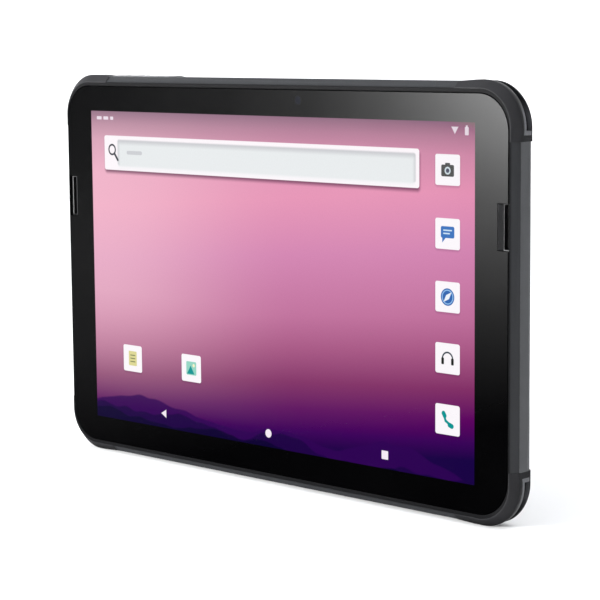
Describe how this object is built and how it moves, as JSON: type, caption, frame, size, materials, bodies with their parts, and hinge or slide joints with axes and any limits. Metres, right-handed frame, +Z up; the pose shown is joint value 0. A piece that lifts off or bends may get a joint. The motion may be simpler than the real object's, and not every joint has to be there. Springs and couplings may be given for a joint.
{
  "type": "data collector",
  "caption": "Rugged tablet data collector: large glass-fronted display, rubber corner bumpers with strap slots, edge keys and a latched battery pack.",
  "frame": {"origin": "middle of the footprint, on the surface that the lower bumpers stand on", "axes": "+X to the right of the screen, -Y out of the screen, +Z up the screen"},
  "size_m": [0.256, 0.012, 0.1668],
  "materials": {
    "black_glass": "polished cover glass, black printed border, lit display behind it",
    "clear_sensor": "clear laminated sensor",
    "display": "display laminate",
    "black_foam": "closed-cell adhesive foam",
    "flex_film": "polyimide flex",
    "dark_polymer": "fine spark texture",
    "magnesium": "cast and passivated",
    "grey_polymer": "fine spark texture, glass-filled",
    "battery_polymer": "fine spark texture",
    "cell_foil": "pouch foil",
    "seal_rubber": "silicone",
    "black_nylon": "moulded nylon",
    "latch_polymer": "satin acetal",
    "steel": "stamped stainless",
    "spring_steel": "drawn wire",
    "black_steel": "black zinc",
    "board_laminate": "solder mask",
    "tinned_steel": "tin plate",
    "chip_resin": "moulding resin",
    "ceramic": "glazed ceramic",
    "copper": "etched copper",
    "key_polymer": "fine matte",
    "bumper_rubber": "matte elastomer",
    "anchor_polymer": "glass-filled nylon",
    "gold_plate": "gold plate",
    "lens_glass": "hard coated glass",
    "camera_black": "blackened",
    "lamp_lens": "fresnel lens",
    "speaker_polymer": "moulded",
    "grille_polymer": "satin"
  },
  "bodies": {
    "case": {"backlight": "display", "battery_case": "battery_polymer", "battery_cells": "cell_foil", "battery_connector": "black_nylon", "battery_cover": "battery_polymer", "battery_seal": "seal_rubber", "board_screws": "steel", "camera_window": "lens_glass", "card_socket": "tinned_steel", "chassis": "magnesium", "chips": "chip_resin", "contactless_coil": "copper", "corner_bumper_bottom_left": "bumper_rubber", "corner_bumper_bottom_right": "bumper_rubber", "corner_bumper_top_left": "bumper_rubber", "corner_bumper_top_right": "bumper_rubber", "cover_glass": "black_glass", "display_cable": "flex_film", "display_panel": "display", "dock_block": "black_nylon", "dock_pins": "gold_plate", "face_camera": "camera_black", "flash_lamp": "lamp_lens", "front_bezel": "dark_polymer", "glass_gasket": "black_foam", "gnss_antenna": "ceramic", "headset_jack": "black_nylon", "housing_screws": "black_steel", "key_board": "board_laminate", "key_switches": "black_nylon", "latch_spring_left": "spring_steel", "latch_spring_right": "spring_steel", "main_board": "board_laminate", "port_cover_pin": "steel", "radio_antennas": "flex_film", "rear_camera": "camera_black", "rear_housing": "grey_polymer", "rocker_pin": "steel", "shield_cans": "tinned_steel", "speaker_grille_left": "grille_polymer", "speaker_grille_right": "grille_polymer", "speaker_left": "speaker_polymer", "speaker_right": "speaker_polymer", "strap_anchor_bottom_left": "anchor_polymer", "strap_anchor_bottom_right": "anchor_polymer", "strap_anchor_top_left": "anchor_polymer", "strap_anchor_top_right": "anchor_polymer", "touch_sensor": "clear_sensor", "usb_socket": "tinned_steel", "usb_tongue": "black_nylon"},
    "power_key": {"power_key": "key_polymer"},
    "volume_rocker": {"volume_rocker": "key_polymer"},
    "port_cover": {"port_cover": "bumper_rubber"},
    "card_tray": {"card_tray": "key_polymer"},
    "latch_left": {"battery_latch_left": "latch_polymer", "latch_keeper_left": "steel"},
    "latch_right": {"battery_latch_right": "latch_polymer", "latch_keeper_right": "steel"}
  },
  "joints": [
    {"name": "power_key_press", "type": "slide", "parent": "case", "child": "power_key", "axis": [0, 0, -1], "range_m": [0, 0.00035], "stiffness_N_per_m": 8000},
    {"name": "volume_rock", "type": "hinge", "parent": "case", "child": "volume_rocker", "pos_m": [-0.0719, 0.0009, 0.1634], "axis": [0, 1, 0], "range_deg": [-1.2, 1.2], "stiffness_Nm_per_rad": 0.8},
    {"name": "port_cover_hinge", "type": "hinge", "parent": "case", "child": "port_cover", "pos_m": [-0.1261, 0.0006, 0.0569], "axis": [0, -1, 0], "range_deg": [0, 95]},
    {"name": "card_tray_slide", "type": "slide", "parent": "case", "child": "card_tray", "axis": [-1, 0, 0], "range_m": [0, 0.015]},
    {"name": "latch_left_slide", "type": "slide", "parent": "case", "child": "latch_left", "axis": [0, 0, 1], "range_m": [0, 0.003], "stiffness_N_per_m": 300, "springref_m": -0.002, "deforming": ["latch_spring_left"]},
    {"name": "latch_right_slide", "type": "slide", "parent": "case", "child": "latch_right", "axis": [0, 0, 1], "range_m": [0, 0.003], "stiffness_N_per_m": 300, "springref_m": -0.002, "deforming": ["latch_spring_right"]}
  ]
}
